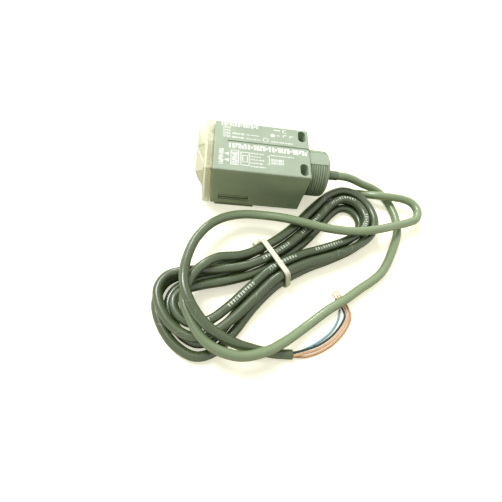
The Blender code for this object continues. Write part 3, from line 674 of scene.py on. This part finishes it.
cable = {
    "diameter": 0.0055,
    "sides": 24,
    "spacing": 0.0014,
    "ripple": 0.006,
    "bore": 0.0019,          # the wires' hole in the cut end
    "boreDepth": 0.0022,
    "exit": (0.0525, 0.0, 0.0181),
    "colour": (0.085, 0.125, 0.045),
    "shade": (0.062, 0.094, 0.032),
    # Painted light: the paler colour on the lead and on part of the tail stands in for stronger light on
    # them
    "paintedLight": (0.29, 0.385, 0.205),                # paler stretches, by metres along the cable
    "leadPaintedLight": (0.17, 0.33), "tailPaintedLight": (1.70, 1.80, 1.95, 2.05),
    "print": (0.70, 0.78, 0.66),
    "sleevePaintedLight": 0.4,      # how far the strain relief goes towards the paler colour
    "pits": 1500.0, "cloud": 45.0, "scuffs": 0.35, "depth": 0.000008, "roughness": (0.3, 0.38),
    "coat": 1.0, "coatRoughness": 0.26, "specular": 0.5,
    "printFrom": 0.685, "printUntil": 0.93, "printTurns": 0.0, "printAround": 0.25,
}
leadRoute = [
    (0.0518, 0, 0.0181), (0.058, 0, 0.018), (0.064, 0.0004, 0.016), (0.0742, 0.0018, 0.0102),
    (0.0835, 0.0021, 0.0064), (0.0908, 0, 0.0037), (0.0951, -0.0047, 0.0028), (0.0977, -0.0114, 0.0028),
    (0.0993, -0.0206, 0.0028), (0.0981, -0.0322, 0.0028), (0.0916, -0.0468, 0.0028),
    (0.0806, -0.0636, 0.0028), (0.062, -0.0772, 0.0032), (0.0529, -0.0837, 0.0044),
    (0.0414, -0.0908, 0.0042), (0.026, -0.1021, 0.004), (0.013, -0.1113, 0.0075), (0.0021, -0.1173, 0.011),
    (-0.0114, -0.1205, 0.0135), (-0.0228, -0.1182, 0.0144), (-0.0312, -0.1128, 0.0146),
    (-0.0386, -0.1022, 0.0146), (-0.0426, -0.0926, 0.0146), (-0.0418, -0.0834, 0.0146),
    (-0.039, -0.077, 0.0146), (-0.0339, -0.071, 0.0142), (-0.0256, -0.0646, 0.012),
]
tailRoute = [
    (0.0464, -0.0094, 0.0028), (0.0525, -0.0049, 0.0028), (0.06, -0.0022, 0.0028),
    (0.069, -0.0016, 0.0034), (0.078, -0.0035, 0.0056), (0.0866, -0.0062, 0.009), (0.096, -0.0069, 0.0096),
    (0.1045, -0.0073, 0.009), (0.111, -0.01, 0.0087), (0.1137, -0.0165, 0.0086), (0.111, -0.023, 0.0086),
    (0.1045, -0.0266, 0.009), (0.0927, -0.0314, 0.0108), (0.0773, -0.0379, 0.0148),
    (0.0657, -0.0403, 0.0146), (0.0541, -0.041, 0.0146), (0.0409, -0.04, 0.0146),
    (0.0266, -0.0377, 0.0152), (0.0146, -0.0355, 0.0148), (0.0008, -0.0333, 0.0125),
    (-0.0113, -0.0335, 0.012), (-0.0225, -0.0371, 0.0125), (-0.0314, -0.0437, 0.0136),
    (-0.0385, -0.054, 0.015), (-0.0422, -0.0653, 0.0174), (-0.0437, -0.0762, 0.0196),
    (-0.0431, -0.0852, 0.0204), (-0.0404, -0.0928, 0.0204), (-0.0357, -0.1003, 0.0194),
    (-0.0297, -0.1064, 0.0176), (-0.0216, -0.1111, 0.0147), (-0.0139, -0.1138, 0.0115),
    (-0.0058, -0.115, 0.0072), (0.0025, -0.116, 0.0038), (0.0105, -0.1167, 0.0028),
    (0.0184, -0.1169, 0.0028),
]
hank = {
    "x": 0.0094, "y": -0.0644, "turn": math.radians(34.0),
    "first": 0.22, "middle": 2.2, "last": 4.345, "perLoop": 24,
    "waist": 0.0148, "waistStep": 0.0063,
    "leftReach": 0.077, "rightReach": 0.086, "reachStep": 0.0061,
    "leftLobe": 0.046, "leftLobeStep": 0.0066, "rightLobe": 0.036, "rightLobeStep": 0.0061,
    "bow": 0.006, "bowFrom": 0.03, "bowSpan": 0.072,
    "lowLayer": 0.0028, "layerStep": 0.0058, "climbSpan": 0.3, "topDraw": 0.0018, "topDrawSpan": 0.03,
    "entrySwing": 0.0009, "entrySpan": 0.12, "waistLift": 0.0019, "waistLiftSpan": 0.022,
    "topSwing": 0.0065, "lowSwing": -0.001, "swingTurn": 2.03, "swingSpan": 0.2, "swingFrom": 0.2,
}


def onFloor(along, across, height):
    # From the hank's own directions to the table's
    turn = hank["turn"]
    x = hank["x"] + along * np.cos(turn) - across * np.sin(turn)
    y = hank["y"] + along * np.sin(turn) + across * np.cos(turn)
    return np.stack(np.broadcast_arrays(x, y, height), axis=-1)


def hankRoute():
    # Loops of a flattened ring, drawn in at the waist: along = reach times -cos, across = sin times a width
    # that grows towards both ends. Each turn steps in until the middle one, drops a layer there and steps
    # out again. At the left end the two layers swing apart.
    count = round((hank["last"] - hank["first"]) * hank["perLoop"])
    turn = np.linspace(hank["first"], hank["last"], count + 1)
    depth = hank["middle"] - np.abs(turn - hank["middle"])
    side = -np.cos(2 * np.pi * turn)
    right = side > 0
    reach = np.where(right, hank["rightReach"], hank["leftReach"]) - hank["reachStep"] * depth * np.abs(side)
    lobe = np.where(right, hank["rightLobe"], hank["leftLobe"])
    lobe = lobe - np.where(right, hank["rightLobeStep"], hank["leftLobeStep"]) * depth
    along = reach * side
    dropped = ease((turn - hank["middle"]) / hank["climbSpan"] + 0.5)
    drawn = hank["topDraw"] * (1.0 - dropped) * np.exp(-(along / hank["topDrawSpan"]) ** 2)
    width = hank["waist"] - hank["waistStep"] * depth - drawn + lobe * side * side
    across = np.sin(2 * np.pi * turn) * width
    across += hank["bow"] * ease((along - hank["bowFrom"]) / hank["bowSpan"])
    across += hank["entrySwing"] * (1.0 - ease((turn - hank["first"]) / hank["entrySpan"]))
    swung = ease((turn - hank["swingTurn"]) / hank["swingSpan"] + 0.5)
    leftward = ease((-side - hank["swingFrom"]) / (1.0 - hank["swingFrom"]))
    across += (hank["topSwing"] + (hank["lowSwing"] - hank["topSwing"]) * swung) * leftward
    lift = hank["waistLift"] * np.exp(-(along / hank["waistLiftSpan"]) ** 2)
    return onFloor(along, across, hank["lowLayer"] + hank["layerStep"] * (1.0 - dropped) + lift)


def jacketFinish(name, dashes):
    # Satin vinyl: clouded colour, painted light as paler stretches along it, fine scratches, and a worn row
    # of plain dashes
    finish, tree, sockets, place = newFinish(name)
    grain = useEffect(tree, "grain", {"Place": place, "Pits": cable["pits"], "Cloud": cable["cloud"]})
    scuffs = useEffect(tree, "scuffs", {"Place": place, "Amount": cable["scuffs"]})["Mask"]
    colour = mixColour(tree, grain["Tone"], cable["colour"], cable["shade"])
    colour = mixColour(tree, scuffs, colour, cable["print"])
    if dashes:
        route = addNode(tree, "ShaderNodeUVMap", uv_map="route").outputs["UV"]
        along = addNode(tree, "ShaderNodeSeparateXYZ", {"Vector": route}).outputs[1]
        # Painted light: paler stretches on the lead and on part of the tail, by metres along the route
        start, full, fading, end = cable["tailPaintedLight"]
        tail = calculate(tree, "SUBTRACT", fade(tree, along, start, full), fade(tree, along, fading, end))
        paintedLight = calculate(tree, "MAXIMUM", fade(tree, along, *cable["leadPaintedLight"], 1.0, 0.0), tail)
        colour = mixColour(tree, paintedLight, colour, cable["paintedLight"])
        row = {"Around": cable["printAround"], "Turns": cable["printTurns"], "From": cable["printFrom"],
               "Until": cable["printUntil"]}
        ink = useEffect(tree, "dashes", {"Route": route, **row})["Mask"]
        worn = fade(tree, noise(tree, place, 900.0), 0.3, 0.55)
        colour = mixColour(tree, calculate(tree, "MULTIPLY", ink, worn), colour, cable["print"])
    else:
        # The strain relief and inner cable take part of the painted-light paler colour
        colour = mixColour(tree, cable["sleevePaintedLight"], colour, cable["paintedLight"])
    tree.links.new(colour, sockets["Base Color"])
    sockets["Coat Weight"].default_value = cable["coat"]
    sockets["Coat Roughness"].default_value = cable["coatRoughness"]
    tree.links.new(fade(tree, grain["Tone"], 0.0, 1.0, *cable["roughness"]), sockets["Roughness"])
    sockets["Specular IOR Level"].default_value = cable["specular"]
    tree.links.new(bump(tree, grain["Height"], cable["depth"]), sockets["Normal"])
    return finish


def makeCable():
    # Round jacket along the whole route. At the cut end the grid turns in over the rim and back down the
    # wires' hole.
    path = smoothRoute(np.vstack([leadRoute, hankRoute(), tailRoute]), cable["spacing"])
    radius = cable["diameter"] / 2
    grid = tubeGrid(path, radius, cable["sides"], cable["ripple"])
    along = unit(path[-1] - path[-2])
    spoke = unit(grid[-1] - path[-1])
    turnIn = ((0.00012, radius - 0.00005), (0.0002, radius - 0.0002), (0.0002, cable["bore"]),
              (-cable["boreDepth"], cable["bore"] - 0.0001))
    rim = np.stack([path[-1] + along * step + spoke * reach for step, reach in turnIn])
    grid = np.vstack([grid, rim])
    patch = {"spots": grid, "closeColumns": True, "capFirst": True, "capLast": True, "uv": routeUv(grid)}
    made = makePiece("cableJacket", [patch], jacketFinish("jacketVinyl", True))
    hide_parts("cord_lead", "cord_hank", "cord_tail")
    return made, path


cableJacket, cablePath = makeCable()
for node in ("strain_relief", "inner_cable"):
    dress(node, jacketFinish(f"{node}Finish", False))
print("cable laid,", round(pathLength(cablePath), 3), "m")


# Four wires out of the cut end, with bare copper strands at their tips

wires = {
    "diameter": 0.0013, "sides": 14, "spacing": 0.0008,
    "insideEnd": 0.0165,      # they start inside the jacket
    "strands": 6, "strandRadius": 0.0001, "bareLength": 0.0046, "layRadius": 0.0003, "splay": 1.6,
    "twist": 1.6, "overlap": 0.0005,      # the strands' turn in radians, and their start inside the wire
    "squeeze": 0.0003,                     # how far the wires draw together inside the jacket
}
wireRoutes = {
    "brown": [
        (0.0187, -0.1177, 0.0020), (0.0266, -0.1176, 0.0010), (0.0362, -0.1144, 0.0008),
        (0.0456, -0.1084, 0.0008), (0.0538, -0.0993, 0.0008), (0.0567, -0.0923, 0.0008),
        (0.0548, -0.0854, 0.0008), (0.0520, -0.0802, 0.0008),
    ],
    "orange": [
        (0.0187, -0.1177, 0.0036), (0.0262, -0.1158, 0.0015), (0.0354, -0.1127, 0.0008),
        (0.0444, -0.1070, 0.0008), (0.0521, -0.0985, 0.0008), (0.0550, -0.0923, 0.0008),
        (0.0531, -0.0860, 0.0008), (0.0503, -0.0810, 0.0008),
    ],
    "blue": [
        (0.0187, -0.1161, 0.0020), (0.0256, -0.1139, 0.0008), (0.0336, -0.1098, 0.0008),
        (0.0408, -0.1050, 0.0008), (0.0462, -0.0994, 0.0008), (0.0494, -0.0932, 0.0008),
        (0.0504, -0.0889, 0.0008),
    ],
    "black": [
        (0.0187, -0.1161, 0.0036), (0.0258, -0.1142, 0.0025), (0.0344, -0.1111, 0.0019),
        (0.0432, -0.1055, 0.0014), (0.0506, -0.0975, 0.0010), (0.0532, -0.0922, 0.0008),
        (0.0514, -0.0867, 0.0008), (0.0486, -0.0820, 0.0008),
    ],
}
wireColours = {
    "brown": ((0.68, 0.38, 0.21), (0.60, 0.31, 0.16)),
    "orange": ((0.97, 0.60, 0.34), (0.92, 0.52, 0.27)),
    "blue": ((0.30, 0.55, 0.66), (0.24, 0.47, 0.60)),
    "black": ((0.05, 0.06, 0.05), (0.035, 0.045, 0.035)),
}


def wireFinish(name, colours):
    # Glossy thin vinyl with slow colour change and slight drag lines along it
    finish, tree, sockets, place = newFinish(name)
    grain = useEffect(tree, "grain", {"Place": place, "Pits": 3000.0, "Cloud": 160.0})
    tree.links.new(mixColour(tree, grain["Tone"], *colours), sockets["Base Color"])
    tree.links.new(fade(tree, grain["Tone"], 0.0, 1.0, 0.26, 0.36), sockets["Roughness"])
    tree.links.new(bump(tree, grain["Height"], 0.000008), sockets["Normal"])
    return finish


def copperFinish():
    # Tinned copper, browned in patches where the tin is thin
    finish, tree, sockets, place = newFinish("strandCopper")
    tarnish = noise(tree, place, 700.0, 3.0)
    stained = fade(tree, tarnish, 0.4, 0.7)
    tree.links.new(mixColour(tree, stained, (0.84, 0.72, 0.56), (0.66, 0.48, 0.32)), sockets["Base Color"])
    tree.links.new(fade(tree, stained, 0.0, 1.0, 0.25, 0.45), sockets["Roughness"])
    sockets["Metallic"].default_value = 1.0
    return finish


def makeWires():
    # Each wire is a tube on its own route. Its strands wind round the wire's last direction, one straight
    # in the middle and the others round it: offset = lay radius (1 + splay s^2) (cos a across + sin a
    # lift).
    copper = copperFinish()
    for colour, route in wireRoutes.items():
        drawn = wires["squeeze"] * np.sign(tailRoute[-1][1] - route[0][1])
        inside = (wires["insideEnd"], route[0][1] + drawn, route[0][2])
        path = smoothRoute([inside, *route], wires["spacing"])
        grid = tubeGrid(path, wires["diameter"] / 2, wires["sides"])
        patch = {"spots": grid, "closeColumns": True, "capFirst": True, "capLast": True, "uv": routeUv(grid)}
        finish = wireFinish(f"{colour}Vinyl", wireColours[colour])
        made = makePiece(f"{colour}Wire", [patch], finish)
        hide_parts(f"conductor_{colour}")
        along = unit(path[-1] - path[-2])
        across = unit(np.cross(along, (0.0, 0.0, 1.0)))
        lift = np.cross(across, along)
        share = np.linspace(0.0, 1.0, 10)
        patches = []
        for strand in range(wires["strands"]):
            angle = 2 * np.pi * strand / (wires["strands"] - 1) + wires["twist"] * share
            ring = wires["layRadius"] * (strand < wires["strands"] - 1) * (1.0 + wires["splay"] * share ** 2)
            offset = ring[:, None] * (np.cos(angle)[:, None] * across + np.sin(angle)[:, None] * lift)
            line = path[-1] + along * (wires["bareLength"] * share[:, None] - wires["overlap"]) + offset
            strandGrid = tubeGrid(line, wires["strandRadius"], 8)
            patches.append({"spots": strandGrid, "closeColumns": True, "capFirst": True, "capLast": True})
        tips = makePiece(f"{colour}Strands", patches, copper)


makeWires()
print("wires and strands made")


# Strap round the hank's waist

strap = {
    "width": 0.0032, "thick": 0.0012, "corner": 0.0026,
    "corners": ((-0.0114, 0.0041), (0.0146, 0.0041), (0.0126, 0.0111), (-0.0088, 0.0111)),
    "headAcross": (0.0170, 0.0206), "headUp": (0.0010, 0.0058), "headHalf": 0.0027,
    "colour": (0.98, 0.99, 0.87), "shade": (0.95, 0.96, 0.80),
}


def strapFinish():
    # Milky nylon with slow colour change and fine moulding marks
    finish, tree, sockets, place = newFinish("strapNylon")
    grain = useEffect(tree, "grain", {"Place": place, "Pits": 2200.0, "Cloud": 120.0})
    tree.links.new(mixColour(tree, grain["Tone"], strap["colour"], strap["shade"]), sockets["Base Color"])
    tree.links.new(fade(tree, grain["Tone"], 0.0, 1.0, 0.3, 0.42), sockets["Roughness"])
    tree.links.new(bump(tree, grain["Height"], 0.00001), sockets["Normal"])
    return finish


def roundedSquare(count, power):
    # Points of the curve |u|^p + |v|^p = 1
    angle = np.linspace(0.0, 2 * np.pi, count, endpoint=False)
    wide = np.sign(np.cos(angle)) * np.abs(np.cos(angle)) ** (2.0 / power)
    tall = np.sign(np.sin(angle)) * np.abs(np.sin(angle)) ** (2.0 / power)
    return wide, tall


def makeStrap():
    # A flat section carried round four corner centres at one distance from them, turning at each corner
    # from one side's normal to the next, and a block with rounded edges for the head
    thick = strap["thick"] / 2
    centres = np.array(strap["corners"])
    sides = np.roll(centres, -1, axis=0) - centres
    leave = np.arctan2(sides[:, 1], sides[:, 0]) - np.pi / 2
    arrive = np.roll(leave, 1)
    angles = arrive[:, None] + ((leave - arrive) % (2 * np.pi))[:, None] * np.linspace(0.0, 1.0, 12)[None]
    outward = np.stack([np.cos(angles), np.sin(angles)], axis=-1)
    loop = (centres[:, None] + (strap["corner"] + thick) * outward).reshape(-1, 2)
    outward = outward.reshape(-1, 2)
    wide, tall = roundedSquare(20, 6.0)
    across = loop[:, None, 0] + outward[:, None, 0] * tall[None] * thick
    up = loop[:, None, 1] + outward[:, None, 1] * tall[None] * thick
    along = np.broadcast_to(wide[None] * strap["width"] / 2, across.shape)
    band = {"spots": onFloor(along, across, up), "closeRows": True, "closeColumns": True}
    middle = [(strap[side][0] + strap[side][1]) / 2 for side in ("headAcross", "headUp")]
    half = [(strap[side][1] - strap[side][0]) / 2 for side in ("headAcross", "headUp")]
    slope = np.linspace(-np.pi / 2, np.pi / 2, 25)[1:-1, None]
    rise = np.sign(np.sin(slope)) * np.abs(np.sin(slope)) ** 0.35
    girth = np.abs(np.cos(slope)) ** 0.35
    wide, tall = roundedSquare(32, 5.0)
    headAlong, headAcross = girth * wide * strap["headHalf"], middle[0] + girth * tall * half[0]
    head = onFloor(headAlong, headAcross, middle[1] + rise * half[1])
    block = {"spots": head[::-1], "closeColumns": True, "capFirst": True, "capLast": True}
    made = makePiece("hankStrap", [band, block], strapFinish())
    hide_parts("cable_tie")
    return made


hankStrap = makeStrap()
print("strap closed round the hank")


# Table, light and surroundings

setting = {
    "table": 6.0,
    "tableBounce": (0.76, 0.74, 0.50), "tableSeen": (1.0, 0.97, 0.82), "tableGlow": (0.55, 0.54, 0.46),
    "middle": (0.03, -0.05, 0.0), "whiteReach": (0.11, 0.17),
    "surround": (1.0, 0.99, 0.84), "surroundStrength": 0.76, "surroundLow": 0.05,
    "surroundAxis": (-0.12, 0.62, 0.78), "surroundSpan": (-0.2, 0.8),
    "lampDistance": 2.4,
    # direction from the middle, size, power and colour: the main lamp, and a low one behind for the far
    # sides' gloss
    "lamps": {
        "keyLamp": ((-0.42, 0.36, 0.83), 0.7, 31.0, (0.95, 0.96, 1.0)),
        "backLamp": ((-0.2, 0.86, 0.47), 0.5, 14.0, (0.96, 0.98, 1.0)),
    },
}


def backgroundRays(tree):
    # Rays that show the background itself: straight to the camera, through clear plastic, or in a gloss
    light = addNode(tree, "ShaderNodeLightPath").outputs
    through = calculate(tree, "MAXIMUM", light["Is Transmission Ray"], light["Is Glossy Ray"])
    return calculate(tree, "MAXIMUM", light["Is Camera Ray"], through)


def tableFinish():
    # Pale card. Near the object it takes the shadows, warm and thinned by a faint glow that only the camera
    # sees; away from the object the camera sees plain white.
    finish = bpy.data.materials.new("tableCard")
    finish.use_nodes = True
    tree = finish.node_tree
    shader = tree.nodes["Principled BSDF"]
    place = addNode(tree, "ShaderNodeTexCoord").outputs["Object"]
    fibre = noise(tree, place, 300.0, 3.0)
    seen = backgroundRays(tree)
    light = addNode(tree, "ShaderNodeLightPath").outputs
    straight = calculate(tree, "MAXIMUM", light["Is Camera Ray"], light["Is Transmission Ray"])
    colour = mixColour(tree, straight, setting["tableBounce"], setting["tableSeen"])
    colour = mixColour(tree, calculate(tree, "MULTIPLY", fibre, 0.03), colour, (0.8, 0.8, 0.76))
    tree.links.new(colour, shader.inputs["Base Color"])
    shader.inputs["Roughness"].default_value = 0.8
    shader.inputs["Specular IOR Level"].default_value = 0.1
    away = vectorSum(tree, "DISTANCE", place, setting["middle"])["Value"]
    white = fade(tree, away, *setting["whiteReach"])
    glow = mixColour(tree, straight, (0.0, 0.0, 0.0), setting["tableGlow"])
    glow = mixColour(tree, calculate(tree, "MULTIPLY", seen, white), glow, (1.0, 1.0, 1.0))
    tree.links.new(glow, shader.inputs["Emission Color"])
    shader.inputs["Emission Strength"].default_value = 1.0
    return finish


def setTable():
    half = setting["table"] / 2
    mesh = bpy.data.meshes.new("table")
    corners = [(-half, -half, 0), (half, -half, 0), (half, half, 0), (-half, half, 0)]
    mesh.from_pydata(corners, [], [(0, 1, 2, 3)])
    mesh.materials.append(tableFinish())
    table = bpy.data.objects.new("table", mesh)
    scene.collection.objects.link(table)


def setLamp(name, towards, size, power, colour):
    # A round soft lamp that faces the middle of the table
    lamp = bpy.data.lights.new(name, "AREA")
    lamp.shape = "DISK"
    lamp.size = size
    lamp.energy = power
    lamp.color = colour
    made = bpy.data.objects.new(name, lamp)
    scene.collection.objects.link(made)
    back = unit(np.array(towards))
    right = unit(np.cross((0.0, 0.0, 1.0), back))
    axes = np.stack([right, np.cross(back, right), back], axis=-1)
    place = np.array(setting["middle"]) + setting["lampDistance"] * back
    made.matrix_world = Matrix.Translation(place.tolist()) @ Matrix(axes.tolist()).to_4x4()


def setLight():
    # Two soft lamps behind, and a warm surround that darkens towards the camera's side. The camera,
    # a gloss and clear plastic see the surround as plain white.
    world = bpy.data.worlds.new("studio")
    scene.world = world
    world.use_nodes = True
    tree = world.node_tree
    ground = tree.nodes["Background"]
    ground.inputs["Color"].default_value = (*setting["surround"], 1.0)
    towards = addNode(tree, "ShaderNodeTexCoord").outputs["Generated"]
    facing = vectorSum(tree, "DOT_PRODUCT", towards, setting["surroundAxis"])["Value"]
    strength = setting["surroundStrength"]
    low = strength * setting["surroundLow"]
    level = fade(tree, facing, *setting["surroundSpan"], low, strength)
    tree.links.new(level, ground.inputs["Strength"])
    white = addNode(tree, "ShaderNodeBackground", {"Color": (1.0, 1.0, 1.0, 1.0), "Strength": 1.0})
    seen = backgroundRays(tree)
    both = addNode(tree, "ShaderNodeMixShader", {0: seen, 1: ground.outputs[0], 2: white.outputs[0]})
    tree.links.new(both.outputs[0], tree.nodes["World Output"].inputs["Surface"])
    for name, lamp in setting["lamps"].items():
        setLamp(name, *lamp)


setTable()
setLight()
print("table and light set")
